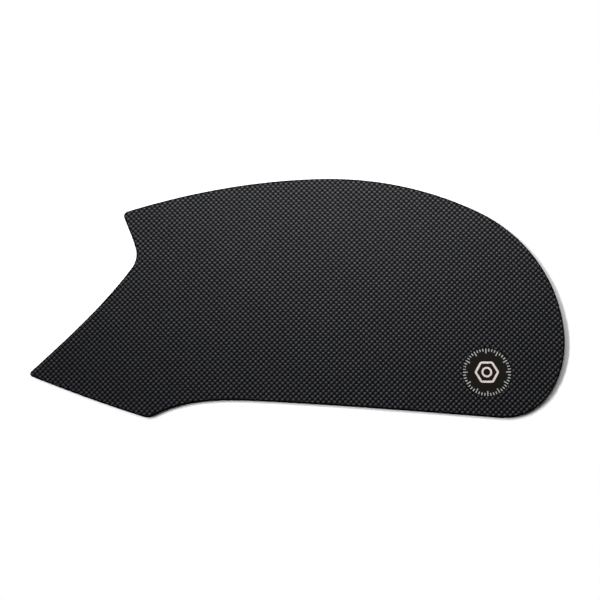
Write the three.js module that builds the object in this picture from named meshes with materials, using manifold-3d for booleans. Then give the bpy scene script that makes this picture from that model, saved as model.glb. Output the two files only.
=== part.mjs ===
// Side grip pad for a motorcycle fuel tank: one sheet of black rubber, moulded in one piece.
// Its back is flat and is glued to the tank. Its face carries close rows of grip relief inside a
// narrow plain rim, and one smooth round land near the nose, where a small emblem is printed.
// Millimetres. X runs along the pad from tail to nose, Y runs across it, Z is up from the glued back.
// The origin is the middle of the footprint, on the glued back.

import * as THREE from "three";
import { mergeVertices } from "three/addons/utils/BufferGeometryUtils.js";
import Module from "manifold-3d";

const wasm = await Module();
wasm.setup();

// Section through the sheet
const SHEET_THICKNESS = 1.2;
const EDGE_ROUND = 0.35;
const EDGE_ROUND_STEPS = 2;

// Grip relief: straight rows that stand on the sheet's upper face
const ROW_PITCH = 2.0;
const ROW_HEIGHT = 0.5;
const ROW_FOOT_WIDTH = 1.4;
const ROW_CROWN_WIDTH = 0.5;
const ROW_ANGLE = -45;
const RIM_WIDTH = 0.9;

// Smooth round land for the emblem, placed from the sharp tail corner
const LAND_DIAMETER = 25.5;
const LAND_X = 240.8;
const LAND_Y = -0.4;
const LAND_SEGMENTS = 64;

// Outline, anticlockwise from the tail. x and y are measured from the sharp tail corner. An angle
// is the direction in which the edge travels there, in degrees anticlockwise from +X. At a corner
// the edge arrives and leaves at different angles, and the radius rounds it.
const TAIL = { x: 0, y: 0, arrive: 223.5, leave: 338.8, radius: 1.7 };
const KEEL = { x: 65.7, y: -23.1, arrive: 343.1, leave: 27.5, radius: 6 };
const BELLY = { x: 123, y: -14.55, angle: 357 };
const HEEL = { x: 246.6, y: -23.7, angle: 355.2 };
const NOSE = { x: 281.3, y: 17.7, angle: 90 };
const SHOULDER = { x: 240, y: 85.7, angle: 152 };
const CROWN = { x: 156.7, y: 106.1, angle: 180 };
const HORN = { x: 47.3, y: 88.8, arrive: 196.7, leave: 290.2, radius: 2.5 };
const NOTCH = { x: 57, y: 62.4, arrive: 285, leave: 234.9, radius: 12 };
const STATIONS = [TAIL, KEEL, BELLY, HEEL, NOSE, SHOULDER, CROWN, HORN, NOTCH];

// Longest straight step along a curve of the outline, and the fewest steps in a curve
const CURVE_STEP = 5;
const FEWEST_STEPS = 5;

// How far the rows' common root reaches down into the sheet
const ROW_ROOT = SHEET_THICKNESS / 2;

function direction(degrees) {
  const radians = THREE.MathUtils.degToRad(degrees);
  return new THREE.Vector2(Math.cos(radians), Math.sin(radians));
}

// Smallest turn from one direction to another, in radians
function turn(from, to) {
  return Math.atan2(from.cross(to), from.dot(to));
}

// A station as the two ends of its rounding, which coincide where the edge runs on smoothly
function roundedStation({ x, y, angle, arrive = angle, leave = angle, radius = 0 }) {
  const corner = new THREE.Vector2(x, y);
  const inward = direction(arrive);
  const outward = direction(leave);
  const setback = radius * Math.tan(Math.abs(turn(inward, outward)) / 2);
  return {
    start: { point: corner.clone().addScaledVector(inward, -setback), heading: inward },
    end: { point: corner.clone().addScaledVector(outward, setback), heading: outward },
  };
}

// A curve that leaves one point and reaches the next along their headings. The handles have the
// length that makes the curve a circular arc when both headings turn alike from the chord.
function edgeCurve(from, to) {
  const chord = to.point.clone().sub(from.point);
  const meanTurn = (Math.abs(turn(from.heading, chord)) + Math.abs(turn(chord, to.heading))) / 2;
  const handle = chord.length() / (3 * Math.cos(meanTurn / 2) ** 2);
  return new THREE.CubicBezierCurve(
    from.point,
    from.point.clone().addScaledVector(from.heading, handle),
    to.point.clone().addScaledVector(to.heading, -handle),
    to.point,
  );
}

function curvePoints(curve) {
  const steps = Math.max(FEWEST_STEPS, Math.ceil(curve.getLength() / CURVE_STEP));
  return curve.getPoints(steps).slice(0, steps);
}

// The pad's edge as a closed run of points
function padOutline() {
  const rounded = STATIONS.map(roundedStation);
  return rounded.flatMap(({ start, end }, i) => {
    const next = rounded[(i + 1) % rounded.length].start;
    const corner = start.point.distanceTo(end.point) > 0 ? curvePoints(edgeCurve(start, end)) : [];
    return [...corner, ...curvePoints(edgeCurve(end, next))];
  });
}

// The same run of points moved inwards, square to the edge
function insetOutline(outline, distance) {
  return outline.map((point, i) => {
    const before = outline[(i + outline.length - 1) % outline.length];
    const after = outline[(i + 1) % outline.length];
    const along = after.clone().sub(before).normalize();
    return point.clone().add(new THREE.Vector2(-along.y, along.x).multiplyScalar(distance));
  });
}

function toSolid(geometry) {
  geometry.deleteAttribute("normal");
  geometry.deleteAttribute("uv");
  const merged = mergeVertices(geometry);
  return new wasm.Manifold(new wasm.Mesh({
    numProp: 3,
    vertProperties: merged.attributes.position.array,
    triVerts: merged.index.array,
  }));
}

function toMesh(name, solid, material) {
  const { vertProperties, triVerts } = solid.getMesh();
  const geometry = new THREE.BufferGeometry();
  geometry.setAttribute("position", new THREE.BufferAttribute(vertProperties, 3));
  geometry.setIndex(new THREE.BufferAttribute(triVerts, 1));
  geometry.computeVertexNormals();
  const mesh = new THREE.Mesh(geometry, material);
  mesh.name = name;
  return mesh;
}

// The plain sheet: a flat back, upright sides and a rounded upper edge. It is drawn with both
// edges rounded and its lower part is cut away at the back.
function sheetSolid(outline, reach) {
  const blank = new THREE.ExtrudeGeometry(new THREE.Shape(outline), {
    depth: SHEET_THICKNESS,
    bevelThickness: EDGE_ROUND,
    bevelSize: EDGE_ROUND,
    bevelOffset: -EDGE_ROUND,
    bevelSegments: EDGE_ROUND_STEPS,
  });
  blank.translate(0, 0, -EDGE_ROUND);
  const below = new THREE.BoxGeometry(reach, reach, SHEET_THICKNESS);
  below.translate(0, 0, -SHEET_THICKNESS / 2);
  return toSolid(blank).subtract(toSolid(below));
}

// All the grip rows on one root, in the shape of a comb seen from its end
function rowsSolid(reach) {
  const count = Math.ceil(reach / ROW_PITCH);
  const first = -(count * ROW_PITCH) / 2;
  const profile = new THREE.Shape();
  profile.moveTo(first, -ROW_ROOT);
  profile.lineTo(-first, -ROW_ROOT);
  profile.lineTo(-first, 0);
  for (let row = count - 1; row >= 0; row -= 1) {
    const crest = first + (row + 0.5) * ROW_PITCH;
    profile.lineTo(crest + ROW_FOOT_WIDTH / 2, 0);
    profile.lineTo(crest + ROW_CROWN_WIDTH / 2, ROW_HEIGHT);
    profile.lineTo(crest - ROW_CROWN_WIDTH / 2, ROW_HEIGHT);
    profile.lineTo(crest - ROW_FOOT_WIDTH / 2, 0);
  }
  profile.lineTo(first, 0);
  const comb = new THREE.ExtrudeGeometry(profile, { depth: reach, bevelEnabled: false });
  comb.translate(0, 0, -reach / 2);
  comb.rotateX(Math.PI / 2);
  comb.rotateZ(THREE.MathUtils.degToRad(ROW_ANGLE - 90));
  comb.translate(0, 0, SHEET_THICKNESS);
  return toSolid(comb);
}

// The area that the rows cover: all of the face inside the rim, but for the land
function fieldSolid(outline, land) {
  const height = 2 * (ROW_ROOT + ROW_HEIGHT);
  const field = new THREE.ExtrudeGeometry(new THREE.Shape(insetOutline(outline, RIM_WIDTH)), {
    depth: height,
    bevelEnabled: false,
  });
  field.translate(0, 0, SHEET_THICKNESS - height / 2);
  const radius = LAND_DIAMETER / 2;
  const cutter = new THREE.CylinderGeometry(radius, radius, 2 * height, LAND_SEGMENTS);
  cutter.rotateX(Math.PI / 2);
  cutter.translate(land.x, land.y, SHEET_THICKNESS);
  return toSolid(field).subtract(toSolid(cutter));
}

const drawn = padOutline();
const footprint = new THREE.Box2().setFromPoints(drawn);
const middle = footprint.getCenter(new THREE.Vector2());
const edge = drawn.map((point) => point.clone().sub(middle));
const land = new THREE.Vector2(LAND_X, LAND_Y).sub(middle);
const reach = 2 * footprint.getSize(new THREE.Vector2()).length();

const rubber = new THREE.MeshStandardMaterial({ color: 0x17181a, roughness: 0.55, metalness: 0 });
const relief = rowsSolid(reach).intersect(fieldSolid(edge, land));

const tankPad = new THREE.Group();
tankPad.add(toMesh("grip_pad", sheetSolid(edge, reach).add(relief), rubber));

export default tankPad;
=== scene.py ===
import math

import bpy
from mathutils import Matrix, Vector


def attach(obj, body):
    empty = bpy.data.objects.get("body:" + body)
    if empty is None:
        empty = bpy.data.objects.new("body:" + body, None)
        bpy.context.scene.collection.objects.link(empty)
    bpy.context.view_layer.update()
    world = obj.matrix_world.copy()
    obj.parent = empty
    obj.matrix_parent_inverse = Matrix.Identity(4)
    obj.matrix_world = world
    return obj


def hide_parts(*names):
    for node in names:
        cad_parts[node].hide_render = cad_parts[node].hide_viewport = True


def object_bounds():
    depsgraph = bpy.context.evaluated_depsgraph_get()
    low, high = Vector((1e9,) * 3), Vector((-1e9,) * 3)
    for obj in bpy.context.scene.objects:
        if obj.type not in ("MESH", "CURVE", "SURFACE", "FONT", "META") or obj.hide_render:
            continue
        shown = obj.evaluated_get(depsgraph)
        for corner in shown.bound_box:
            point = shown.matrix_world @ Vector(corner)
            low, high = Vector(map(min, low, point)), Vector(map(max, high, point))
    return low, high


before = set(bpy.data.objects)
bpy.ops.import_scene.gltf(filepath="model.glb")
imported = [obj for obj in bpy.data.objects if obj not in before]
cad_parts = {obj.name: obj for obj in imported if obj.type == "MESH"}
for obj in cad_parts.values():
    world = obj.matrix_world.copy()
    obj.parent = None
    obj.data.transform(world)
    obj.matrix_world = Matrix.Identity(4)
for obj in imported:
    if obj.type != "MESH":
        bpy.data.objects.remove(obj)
CAD_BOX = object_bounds()

# A side grip pad for a motorcycle tank: one sheet of black rubber that lies on its flat back. Its
# face has a relief of small round bumps inside a plain rim, and one smooth round land with a printed
# emblem. X runs from the tail to the nose and Z up from the back. Lengths are in metres.
MM = 0.001

# The sheet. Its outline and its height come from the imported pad.
RELIEF_HEIGHT = 0.5 * MM
FACE = CAD_BOX[1].z - RELIEF_HEIGHT
EDGE_ROUND = 0.35 * MM
EDGE_ROUND_STEPS = 3
RIM_WIDTH = 0.9 * MM

# The shallow pocket that the relief lies in. The relief is a little wider than the pocket, and its
# root reaches down into the sheet, so that the two join into one.
POCKET_DEPTH = 0.25 * MM
POCKET_FLOOR = FACE - POCKET_DEPTH
POCKET_OVERLAP = 0.01 * MM
ROOT_HEIGHT = 0.35 * MM
FIELD_TOP = 2 * CAD_BOX[1].z

# The bumps. Their heights are measured from the pocket's floor.
ROW_PITCH = 2.0 * MM
BUMP_SIDES = 8
CAP_RADIUS = 0.6 * MM
TOP_HEIGHT = POCKET_DEPTH + RELIEF_HEIGHT
CAP_FOOT_HEIGHT = 0.67 * MM
SADDLE_HEIGHT = 0.32 * MM
PIT_HEIGHT = 0.03 * MM

# The smooth round land
LAND_CENTRE = Vector((99.44, -41.6, 0)) * MM
LAND_RADIUS = 12.75 * MM
LAND_SEGMENTS = 96

# The emblem printed on the land: a scale of marks round a hexagonal nut and its bore
PRINT_THICKNESS = 0.06 * MM
PRINT_SINK = 0.02 * MM
SCALE_RADIUS = 12.2 * MM
SCALE_MARKS = 48
LONG_MARKS = 12
LONG_MARK = 2.5 * MM
SHORT_MARK = 1.4 * MM
MARK_WIDTH = 0.5 * MM
NUT_SIDES = 6
NUT_RADIUS = 6.3 * MM
NUT_LINE = 1.05 * MM
NUT_CORNER = 0.7 * MM
NUT_CORNER_STEPS = 4
BORE_RADIUS = 2.7 * MM
BORE_LINE = 0.95 * MM
BORE_SEGMENTS = 48

# The rubber's colours: in the pits, where its near black is painted shade, on the tops of the bumps,
# on the land and on the back
PIT_SHADE_BLACK = (0.0006, 0.0006, 0.0008, 1)
TOP_BLACK = (0.022, 0.0228, 0.0275, 1)
LAND_BLACK = (0.0085, 0.0077, 0.0069, 1)
BACK_BLACK = (0.014, 0.0142, 0.015, 1)

# Where one colour runs into the next: inside the land's edge, and between two heights at the back
LAND_FADE = 0.35 * MM
BACKING_FADE = (0.05 * MM, 0.3 * MM)

# The rubber's gloss, which grows from the pits to the tops along a power curve, as its colour does.
# The darker colour and the weaker gloss towards the pits are painted shade.
PIT_SHADE_CURVE = 2.3
PIT_ROUGHNESS = 0.6
TOP_ROUGHNESS = 0.48
PIT_SHEEN = 0.02
TOP_SHEEN = 0.95

# The ink, from its darkest to its lightest
CREAM_INK = ((0.52, 0.445, 0.405, 1), (0.62, 0.545, 0.5, 1))
GREY_INK = ((0.28, 0.28, 0.27, 1), (0.39, 0.39, 0.38, 1))
INK_ROUGHNESS = 0.6
INK_SHEEN = 0.3

# Fine grain and slow mottle, for both surfaces. Most of the noise lies inside MOTTLE_NOISE.
GRAIN_DETAIL = 3
MOTTLE_NOISE = (0.3, 0.7)
RUBBER_MOTTLE = (0.9, 1.1)
RUBBER_GRAIN = {"grain_size": 0.25 * MM, "mottle_size": 14 * MM, "depth": 0.012 * MM}
INK_GRAIN = {"grain_size": 0.3 * MM, "mottle_size": 3 * MM, "depth": 0.006 * MM}

# The camera over the pad, with its angles in degrees
VIEW_TARGET = Vector((3.33, -2.28, 0)) * MM
VIEW_DISTANCE = 455 * MM
VIEW_HALF_WIDTH = 159.2 * MM
VIEW_ELEVATION = 78
VIEW_LEAN = 3.4
NEAREST_VIEW = 10 * MM

# The floor. Its fade into plain white is an oval, whose y counts more than its x.
WHITE = (1, 1, 1, 1)
FLOOR_SIZE = 8.0
FLOOR_DROP = 0.02 * MM
FLOOR_TOUCH = 4 * FLOOR_DROP
FLOOR_OVAL = (1, 1.9, 0)
FLOOR_FADE = (170 * MM, 230 * MM)

# The strength of the world's light from above, and the height of its fades at the horizon
AMBIENT = 0.06
HORIZON_BAND = 0.3

# The lamps. Angles are in degrees and power in watts. One that shows is mirrored in the gloss.
KEY = {
    "bearing": 168, "elevation": 22.5, "distance": 5.0, "width": 4.8, "height": 0.7, "power": 645,
    "shows": False}
CARD = {
    "bearing": 84, "elevation": 45, "distance": 0.19, "width": 0.36, "height": 0.14, "power": 0.45,
    "shows": True}

# Distance below which two vertices are one
MERGE_DISTANCE = 0.001 * MM

# How far a face's unit normal points up: over FLAT if it is about level, over LEVEL if it is
# exactly level, and under UPRIGHT if it stands upright
FLAT = 0.9
LEVEL = 0.9999
UPRIGHT = 0.02

# Distance between nodes in the shader editor
NODE_SPACING = 220


def activate(piece):
    """Makes one object the only selected and active one."""
    bpy.ops.object.select_all(action="DESELECT")
    piece.select_set(True)
    bpy.context.view_layer.objects.active = piece


def edit(piece, select="DESELECT"):
    """Opens a piece in edit mode with all of its faces selected or none."""
    activate(piece)
    bpy.ops.object.mode_set(mode="EDIT")
    bpy.ops.mesh.select_mode(type="FACE")
    bpy.ops.mesh.select_all(action=select)


def leave_edit():
    bpy.ops.object.mode_set(mode="OBJECT")


def pick(piece, kind, wanted):
    """Selects the vertices or faces of the piece in edit mode for which wanted(element) is true."""
    bpy.ops.mesh.select_mode(type=kind)
    bpy.ops.mesh.select_all(action="DESELECT")
    leave_edit()
    elements = piece.data.vertices if kind == "VERT" else piece.data.polygons
    for element in elements:
        element.select = wanted(element)
    bpy.ops.object.mode_set(mode="EDIT")


def raise_by(height):
    """Extrudes what is selected straight up, or down where the height is negative."""
    bpy.ops.mesh.extrude_region_move(TRANSFORM_OT_translate={"value": (0, 0, height)})


def face_outwards():
    bpy.ops.mesh.select_all(action="SELECT")
    bpy.ops.mesh.normals_make_consistent(inside=False)


def name_last(name):
    """Names the object that an operator has just added, and its mesh."""
    piece = bpy.context.object
    piece.name = name
    piece.data.name = name
    return piece


def combine(piece, other, operation):
    """Joins, cuts or intersects a closed piece with another one, which is then deleted."""
    activate(piece)
    modifier = piece.modifiers.new(operation.title(), "BOOLEAN")
    modifier.object = other
    modifier.operation = operation
    modifier.solver = "MANIFOLD"
    bpy.ops.object.modifier_apply(modifier=modifier.name)
    bpy.data.objects.remove(other)


def settle(piece):
    """Puts a piece's place into its mesh, so that its object sits at the origin."""
    activate(piece)
    bpy.ops.object.transform_apply(location=True, rotation=True, scale=True)


def footprint(name):
    """One flat face with the pad's outline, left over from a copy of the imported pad's back."""
    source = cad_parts["grip_pad"]
    piece = bpy.data.objects.new(name, source.data.copy())
    piece.data.name = name
    piece.data.materials.clear()
    bpy.context.scene.collection.objects.link(piece)
    edit(piece, "SELECT")
    bpy.ops.mesh.remove_doubles(threshold=MERGE_DISTANCE)
    pick(piece, "FACE", lambda face: face.normal.z < -FLAT and face.center.z < MERGE_DISTANCE)
    bpy.ops.mesh.select_all(action="INVERT")
    bpy.ops.mesh.delete(type="FACE")
    bpy.ops.mesh.select_all(action="SELECT")
    bpy.ops.mesh.dissolve_faces()
    leave_edit()
    return piece


def plain_sheet():
    """The sheet without relief: flat back, upright sides and a rounded upper edge."""
    sheet = footprint("tank_pad")
    edit(sheet, "SELECT")
    raise_by(FACE)
    face_outwards()
    pick(sheet, "FACE", lambda face: face.normal.z > FLAT)
    bpy.ops.mesh.region_to_loop()
    bpy.ops.mesh.bevel(offset=EDGE_ROUND, segments=EDGE_ROUND_STEPS, profile=0.5)
    leave_edit()
    return sheet


def relief_field(bottom, overlap):
    """The space above a height that lies inside the plain rim and clear of the round land."""
    field = footprint("relief_field")
    edit(field, "SELECT")
    bpy.ops.transform.translate(value=(0, 0, bottom))
    bpy.ops.mesh.inset(thickness=RIM_WIDTH - overlap, depth=0)
    bpy.ops.mesh.select_all(action="INVERT")
    bpy.ops.mesh.delete(type="FACE")
    bpy.ops.mesh.select_all(action="SELECT")
    raise_by(FIELD_TOP - bottom)
    face_outwards()
    leave_edit()
    bpy.ops.object.select_all(action="DESELECT")
    bpy.ops.mesh.primitive_cylinder_add(
        vertices=LAND_SEGMENTS, radius=LAND_RADIUS - overlap, depth=3 * FIELD_TOP,
        location=LAND_CENTRE)
    combine(field, bpy.context.object, "DIFFERENCE")
    return field


def relief_bump():
    """One bump: a round cap whose foot runs out to four saddles and, between them, four pits."""
    bpy.ops.object.select_all(action="DESELECT")
    bpy.ops.mesh.primitive_circle_add(
        vertices=BUMP_SIDES, radius=CAP_RADIUS, fill_type="TRIFAN",
        location=(0, 0, POCKET_FLOOR + CAP_FOOT_HEIGHT))
    bump = name_last("relief")
    settle(bump)
    edit(bump)
    pick(bump, "VERT", lambda vertex: vertex.co.xy.length < CAP_RADIUS / 2)
    bpy.ops.transform.translate(value=(0, 0, TOP_HEIGHT - CAP_FOOT_HEIGHT))
    pick(bump, "VERT", lambda vertex: vertex.co.xy.length > CAP_RADIUS / 2)
    raise_by(SADDLE_HEIGHT - CAP_FOOT_HEIGHT)
    spread = ROW_PITCH / 2 / CAP_RADIUS
    bpy.ops.transform.resize(value=(spread, spread, 1))
    pick(bump, "VERT", lambda vertex: (
        vertex.co.xy.length > CAP_RADIUS + MERGE_DISTANCE
        and min(abs(vertex.co.x), abs(vertex.co.y)) < MERGE_DISTANCE))
    bpy.ops.transform.resize(value=(math.sqrt(2), math.sqrt(2), 1))
    bpy.ops.transform.translate(value=(0, 0, PIT_HEIGHT - SADDLE_HEIGHT))
    leave_edit()
    return bump


def relief_lattice():
    """Bumps all over the rectangle round the pad, closed below into a solid."""
    relief = relief_bump()
    cell = ROW_PITCH * math.sqrt(2)
    edit(relief, "SELECT")
    bpy.ops.mesh.duplicate_move(TRANSFORM_OT_translate={"value": (cell / 2, cell / 2, 0)})
    leave_edit()
    size = CAD_BOX[1] - CAD_BOX[0]
    counts = [math.ceil(size.x / cell) + 1, math.ceil(size.y / cell) + 1]
    for count, step in zip(counts, ((cell, 0, 0), (0, cell, 0))):
        rows = relief.modifiers.new("Rows", "ARRAY")
        rows.count = count
        rows.use_relative_offset = False
        rows.use_constant_offset = True
        rows.constant_offset_displace = step
        activate(relief)
        bpy.ops.object.modifier_apply(modifier=rows.name)
    relief.location.x -= counts[0] * cell / 2
    relief.location.y -= counts[1] * cell / 2
    settle(relief)
    edit(relief, "SELECT")
    bpy.ops.mesh.remove_doubles(threshold=MERGE_DISTANCE)
    bpy.ops.mesh.region_to_loop()
    raise_by(-SADDLE_HEIGHT)
    bpy.ops.transform.resize(value=(1, 1, 0), center_override=(0, 0, 0))
    bpy.ops.mesh.edge_face_add()
    face_outwards()
    leave_edit()
    return relief


def tank_pad():
    """The whole moulded pad as one closed surface: sheet, rim, relief and land.

    Level faces and the upright cuts through the outermost bumps are shaded flat, so that their edges
    stay crisp. All else is smooth.
    """
    relief = relief_lattice()
    combine(relief, relief_field(ROOT_HEIGHT, POCKET_OVERLAP), "INTERSECT")
    pad = plain_sheet()
    combine(pad, relief_field(POCKET_FLOOR, 0), "DIFFERENCE")
    combine(pad, relief, "UNION")
    edit(pad, "SELECT")
    bpy.ops.mesh.faces_shade_smooth()
    pick(pad, "FACE", lambda face: abs(face.normal.z) > LEVEL)
    bpy.ops.mesh.faces_shade_flat()
    pick(pad, "FACE", lambda face: abs(face.normal.z) < UPRIGHT and face.center.z > FACE)
    bpy.ops.mesh.faces_shade_flat()
    leave_edit()
    return pad


def spin_copies(copies, angle):
    """Repeats all of the piece in edit mode round the land's centre, anticlockwise over an angle."""
    bpy.ops.mesh.select_all(action="SELECT")
    bpy.ops.mesh.spin(
        steps=copies, dupli=True, angle=-angle, center=LAND_CENTRE, axis=(0, 0, 1))


def scale_marks(name, length, first, neighbours):
    """Printed bars that end on one circle: a row of neighbours, once for each of the long marks.

    The first bar stands at mark number first, counted anticlockwise from the top.
    """
    pitch = 2 * math.pi / SCALE_MARKS
    turned = Matrix.Rotation(first * pitch, 3, "Z")
    middle = Vector((0, SCALE_RADIUS - length / 2, FACE - PRINT_SINK + PRINT_THICKNESS / 2))
    bpy.ops.object.select_all(action="DESELECT")
    bpy.ops.mesh.primitive_cube_add(
        size=1, location=LAND_CENTRE + turned @ middle, rotation=(0, 0, first * pitch))
    marks = name_last(name)
    marks.scale = (MARK_WIDTH, length, PRINT_THICKNESS)
    settle(marks)
    edit(marks)
    if neighbours > 1:
        spin_copies(neighbours - 1, (neighbours - 1) * pitch)
    spin_copies(LONG_MARKS - 1, 2 * math.pi * (1 - 1 / LONG_MARKS))
    leave_edit()
    return marks


def ring_plate(name, corners, radius, line, corner_radius=0, corner_steps=1):
    """A flat printed ring with straight sides between its corners, which may be rounded."""
    bpy.ops.object.select_all(action="DESELECT")
    bpy.ops.mesh.primitive_circle_add(
        vertices=corners, radius=radius, fill_type="NGON", rotation=(0, 0, math.pi / 2),
        location=LAND_CENTRE + Vector((0, 0, FACE - PRINT_SINK)))
    plate = name_last(name)
    edit(plate, "SELECT")
    if corner_radius:
        bpy.ops.mesh.bevel(offset=corner_radius, segments=corner_steps, affect="VERTICES")
        bpy.ops.mesh.select_all(action="SELECT")
    bpy.ops.mesh.inset(thickness=line, depth=0)
    bpy.ops.mesh.delete(type="FACE")
    bpy.ops.mesh.select_all(action="SELECT")
    raise_by(PRINT_THICKNESS)
    face_outwards()
    leave_edit()
    settle(plate)
    return plate


def node(tree, kind, place, **values):
    """Adds a shader node at a place in the tree and sets its plain properties."""
    made = tree.nodes.new(kind)
    made.location = Vector(place) * NODE_SPACING
    for key, value in values.items():
        setattr(made, key, value)
    return made


def feed(tree, socket, value):
    """Links another node's output to a socket, or sets the socket to a plain value."""
    if isinstance(value, bpy.types.NodeSocket):
        tree.links.new(value, socket)
    else:
        socket.default_value = value


def calculate(tree, place, operation, *values):
    """A sum on plain numbers and other nodes' outputs."""
    math_node = node(tree, "ShaderNodeMath", place, operation=operation)
    for socket, value in zip(math_node.inputs, values):
        feed(tree, socket, value)
    return math_node.outputs[0]


def value_range(tree, place, value, source, result):
    """A value carried from one range to another."""
    spread = node(tree, "ShaderNodeMapRange", place)
    for socket, number in zip(("From Min", "From Max", "To Min", "To Max"), (*source, *result)):
        spread.inputs[socket].default_value = number
    feed(tree, spread.inputs["Value"], value)
    return spread.outputs["Result"]


def blend(tree, place, kind, factor, first, second):
    """A number or colour between two others, each plain or another node's output."""
    mix = node(tree, "ShaderNodeMix", place, data_type=kind)
    for socket, value in (("Factor", factor), ("A", first), ("B", second)):
        feed(tree, mix.inputs[socket], value)
    return mix.outputs["Result"]


def mixed_shaders(tree, place, factor, first, second):
    """A surface between two others."""
    mix = node(tree, "ShaderNodeMixShader", place)
    for socket, value in zip(mix.inputs, (factor, first, second)):
        feed(tree, socket, value)
    return mix.outputs[0]


def surface_grain_group():
    """Fine moulded grain and a slow mottle, used by the rubber and by the print."""
    group = bpy.data.node_groups.new("surface_grain", "ShaderNodeTree")
    for name in ("Grain Size", "Mottle Size"):
        group.interface.new_socket(name, in_out="INPUT", socket_type="NodeSocketFloat")
    for name in ("Height", "Mottle"):
        group.interface.new_socket(name, in_out="OUTPUT", socket_type="NodeSocketFloat")
    enter = node(group, "NodeGroupInput", (-4, 0))
    leave = node(group, "NodeGroupOutput", (3, 0))
    where = node(group, "ShaderNodeTexCoord", (-4, 1))
    for row, size, output in ((1, "Grain Size", "Height"), (-1, "Mottle Size", "Mottle")):
        scale = calculate(group, (-2, row), "DIVIDE", 1, enter.outputs[size])
        noise = node(group, "ShaderNodeTexNoise", (0, row))
        feed(group, noise.inputs["Vector"], where.outputs["Object"])
        feed(group, noise.inputs["Scale"], scale)
        feed(group, noise.inputs["Detail"], GRAIN_DETAIL)
        feed(group, leave.inputs[output], noise.outputs["Fac"])
    return group


def new_material(name):
    """A new material, its node tree and its shader."""
    material = bpy.data.materials.new(name)
    material.use_nodes = True
    return material, material.node_tree, material.node_tree.nodes["Principled BSDF"]


def add_grain(tree, shader, group, grain_size, mottle_size, depth):
    """Adds the grain group, bumps the shader's surface with it and returns the group's mottle."""
    grain = node(tree, "ShaderNodeGroup", (-5, 0), node_tree=group)
    feed(tree, grain.inputs["Grain Size"], grain_size)
    feed(tree, grain.inputs["Mottle Size"], mottle_size)
    bump = node(tree, "ShaderNodeBump", (-2, -2))
    feed(tree, bump.inputs["Strength"], 1)
    feed(tree, bump.inputs["Distance"], depth)
    feed(tree, bump.inputs["Height"], grain.outputs["Height"])
    feed(tree, shader.inputs["Normal"], bump.outputs["Normal"])
    return grain.outputs["Mottle"]


def grip_rubber(group):
    """Black satin rubber: deep black in the pits as painted shade, greyer and smoother on the bumps'
    tops.
    """
    material, tree, shader = new_material("grip_rubber")
    mottle = add_grain(tree, shader, group, **RUBBER_GRAIN)
    where = node(tree, "ShaderNodeTexCoord", (-8, 2))
    split = node(tree, "ShaderNodeSeparateXYZ", (-7, 2))
    feed(tree, split.inputs["Vector"], where.outputs["Object"])
    relief = (POCKET_FLOOR + PIT_HEIGHT, CAD_BOX[1].z)
    height = value_range(tree, (-6, 2), split.outputs["Z"], relief, (0, 1))
    # The height along a power curve, with the mottle on it, sets how far painted shade darkens the
    # rubber towards the pits
    pit_shade_ramp = calculate(tree, (-5, 2), "POWER", height, PIT_SHADE_CURVE)
    mottle = value_range(tree, (-4, 1), mottle, MOTTLE_NOISE, RUBBER_MOTTLE)
    pit_shade_and_mottle = calculate(tree, (-3, 2), "MULTIPLY", pit_shade_ramp, mottle)
    away = node(tree, "ShaderNodeVectorMath", (-6, 5), operation="DISTANCE")
    feed(tree, away.inputs[0], where.outputs["Object"])
    feed(tree, away.inputs[1], LAND_CENTRE + Vector((0, 0, FACE)))
    land_edge = (LAND_RADIUS, LAND_RADIUS - LAND_FADE)
    land = value_range(tree, (-4, 5), away.outputs["Value"], land_edge, (0, 1))
    backing = value_range(tree, (-3, 5), split.outputs["Z"], BACKING_FADE, (1, 0))
    # Painted shade: the colour darkens from the tops to near black in the pits, and the mottle
    # varies it at random
    colour = blend(tree, (-4, 4), "RGBA", pit_shade_and_mottle, PIT_SHADE_BLACK, TOP_BLACK)
    colour = blend(tree, (-3, 4), "RGBA", land, colour, LAND_BLACK)
    colour = blend(tree, (-2, 4), "RGBA", backing, colour, BACK_BLACK)
    roughness = value_range(tree, (-2, 1), pit_shade_and_mottle, (0, 1), (PIT_ROUGHNESS, TOP_ROUGHNESS))
    # The gloss weakens towards the pits as painted shade too
    sheen = value_range(tree, (-2, 0), pit_shade_ramp, (0, 1), (PIT_SHEEN, TOP_SHEEN))
    feed(tree, shader.inputs["Base Color"], colour)
    feed(tree, shader.inputs["Roughness"], roughness)
    feed(tree, shader.inputs["Specular IOR Level"], sheen)
    return material


def emblem_print(name, group, ink):
    """Matt pale ink with a slight unevenness."""
    material, tree, shader = new_material(name)
    mottle = add_grain(tree, shader, group, **INK_GRAIN)
    uneven = value_range(tree, (-4, 1), mottle, MOTTLE_NOISE, (0, 1))
    feed(tree, shader.inputs["Base Color"], blend(tree, (-2, 1), "RGBA", uneven, *ink))
    feed(tree, shader.inputs["Roughness"], INK_ROUGHNESS)
    feed(tree, shader.inputs["Specular IOR Level"], INK_SHEEN)
    return material


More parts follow.
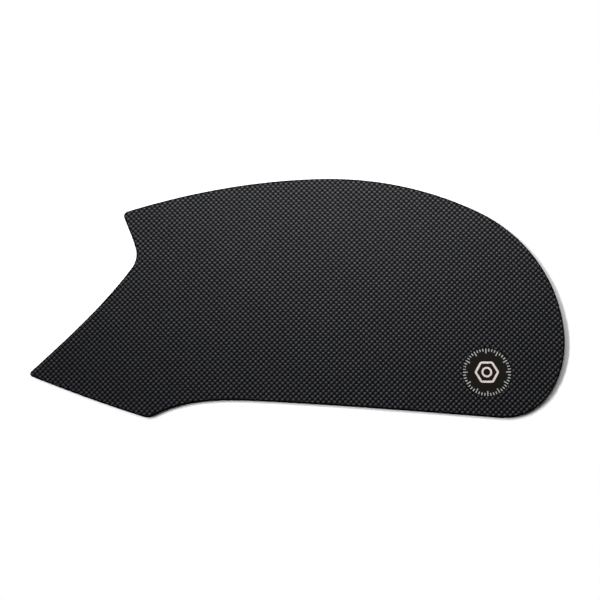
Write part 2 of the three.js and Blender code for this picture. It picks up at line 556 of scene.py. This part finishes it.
def studio_world():
    """White wherever it is looked at, with a dim even light from above and a full one from below.

    What a glossy face mirrors is white near the horizon and dark overhead, as between pale walls.
    """
    world = bpy.data.worlds.new("studio")
    bpy.context.scene.world = world
    world.use_nodes = True
    tree = world.node_tree
    background = tree.nodes["Background"]
    path = node(tree, "ShaderNodeLightPath", (-7, 0))
    where = node(tree, "ShaderNodeTexCoord", (-7, -2))
    split = node(tree, "ShaderNodeSeparateXYZ", (-6, -2))
    feed(tree, split.inputs["Vector"], where.outputs["Generated"])
    walls = value_range(tree, (-5, -2), split.outputs["Z"], (HORIZON_BAND, 0), (0, 1))
    even = value_range(tree, (-5, -1), split.outputs["Z"], (-HORIZON_BAND, 0), (1, AMBIENT))
    glossy = blend(tree, (-4, 0), "FLOAT", path.outputs["Is Glossy Ray"], even, walls)
    clear = blend(tree, (-3, 0), "FLOAT", path.outputs["Is Transmission Ray"], glossy, walls)
    strength = blend(tree, (-2, 0), "FLOAT", path.outputs["Is Camera Ray"], clear, 1)
    feed(tree, background.inputs["Color"], WHITE)
    feed(tree, background.inputs["Strength"], strength)


def floor_white():
    """Matt white that fades to plain white away from the pad, where the camera looks at it.

    From below, and to the pad's back that lies on it, it is clear.
    """
    material, tree, shader = new_material("floor_white")
    feed(tree, shader.inputs["Base Color"], WHITE)
    feed(tree, shader.inputs["Roughness"], 1)
    feed(tree, shader.inputs["Specular IOR Level"], 0)
    path = node(tree, "ShaderNodeLightPath", (-3, 2))
    where = node(tree, "ShaderNodeTexCoord", (-5, 1))
    oval = node(tree, "ShaderNodeVectorMath", (-5, 0), operation="MULTIPLY")
    feed(tree, oval.inputs[0], where.outputs["Object"])
    feed(tree, oval.inputs[1], FLOOR_OVAL)
    away = node(tree, "ShaderNodeVectorMath", (-4, 1), operation="LENGTH")
    feed(tree, away.inputs[0], oval.outputs[0])
    fade = value_range(tree, (-3, 1), away.outputs["Value"], FLOOR_FADE, (0, 1))
    looked_at = calculate(tree, (-2, 1), "MULTIPLY", fade, path.outputs["Is Camera Ray"])
    white = node(tree, "ShaderNodeEmission", (0, -1)).outputs[0]
    upper = mixed_shaders(tree, (2, 0), looked_at, shader.outputs["BSDF"], white)
    side = node(tree, "ShaderNodeNewGeometry", (-2, 3))
    touching = calculate(tree, (-2, 2), "LESS_THAN", path.outputs["Ray Length"], FLOOR_TOUCH)
    either = calculate(tree, (-1, 2), "MAXIMUM", side.outputs["Backfacing"], touching)
    clear = node(tree, "ShaderNodeBsdfTransparent", (2, -1)).outputs[0]
    surface = mixed_shaders(tree, (3, 0), either, upper, clear)
    feed(tree, tree.nodes["Material Output"].inputs["Surface"], surface)
    return material


def studio_floor():
    """A floor that takes the pad's shadow and runs out into the white background."""
    bpy.ops.object.select_all(action="DESELECT")
    bpy.ops.mesh.primitive_plane_add(size=FLOOR_SIZE, location=(0, 0, -FLOOR_DROP))
    floor = name_last("floor")
    floor.data.materials.append(floor_white())


def soft_box(name, bearing, elevation, distance, width, height, power, shows):
    """A rectangular lamp that faces the pad from a bearing, which runs anticlockwise from +X."""
    bearing = math.radians(bearing)
    elevation = math.radians(elevation)
    towards = Vector((
        math.cos(bearing) * math.cos(elevation),
        math.sin(bearing) * math.cos(elevation),
        math.sin(elevation)))
    lamp = bpy.data.lights.new(name, "AREA")
    lamp.shape = "RECTANGLE"
    lamp.size = width
    lamp.size_y = height
    lamp.energy = power
    box = bpy.data.objects.new(name, lamp)
    box.location = towards * distance
    box.rotation_mode = "QUATERNION"
    box.rotation_quaternion = towards.to_track_quat("Z", "Y")
    box.visible_camera = False
    box.visible_glossy = shows
    bpy.context.scene.collection.objects.link(box)


def photo_camera():
    """The camera of the photograph: nearly overhead, with the pad's length across the frame."""
    nose_side = math.sin(math.radians(VIEW_LEAN))
    belly_side = -math.cos(math.radians(VIEW_ELEVATION))
    back = Vector((nose_side, belly_side, math.sqrt(1 - nose_side ** 2 - belly_side ** 2)))
    right = Vector((0, 1, 0)).cross(back).normalized()
    up = back.cross(right)
    camera = bpy.data.objects.new("camera", bpy.data.cameras.new("camera"))
    camera.data.angle = 2 * math.atan(VIEW_HALF_WIDTH / VIEW_DISTANCE)
    camera.data.clip_start = NEAREST_VIEW
    camera.data.clip_end = 2 * FLOOR_SIZE
    turned = Matrix((right, up, back)).transposed().to_4x4()
    camera.matrix_world = Matrix.Translation(VIEW_TARGET + back * VIEW_DISTANCE) @ turned
    bpy.context.scene.collection.objects.link(camera)
    bpy.context.scene.camera = camera


def dress(piece, material):
    """Gives a finished piece its material and ties it to the pad."""
    piece.data.materials.clear()
    piece.data.materials.append(material)
    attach(piece, "root")


photo_camera()
studio_world()
studio_floor()
soft_box("key", **KEY)
soft_box("card", **CARD)
bpy.context.scene.view_settings.view_transform = "Standard"

grain_group = surface_grain_group()
pad = tank_pad()
dress(pad, grip_rubber(grain_group))
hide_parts("grip_pad")

long_marks = scale_marks("emblem_long_marks", LONG_MARK, 0, 1)
short_marks = scale_marks("emblem_short_marks", SHORT_MARK, 1, SCALE_MARKS // LONG_MARKS - 1)
nut = ring_plate("emblem_nut", NUT_SIDES, NUT_RADIUS, NUT_LINE, NUT_CORNER, NUT_CORNER_STEPS)
bore = ring_plate("emblem_bore", BORE_SEGMENTS, BORE_RADIUS, BORE_LINE)
cream = emblem_print("cream_print", grain_group, CREAM_INK)
grey = emblem_print("grey_print", grain_group, GREY_INK)
for mark in (nut, bore):
    dress(mark, cream)
for mark in (long_marks, short_marks):
    dress(mark, grey)
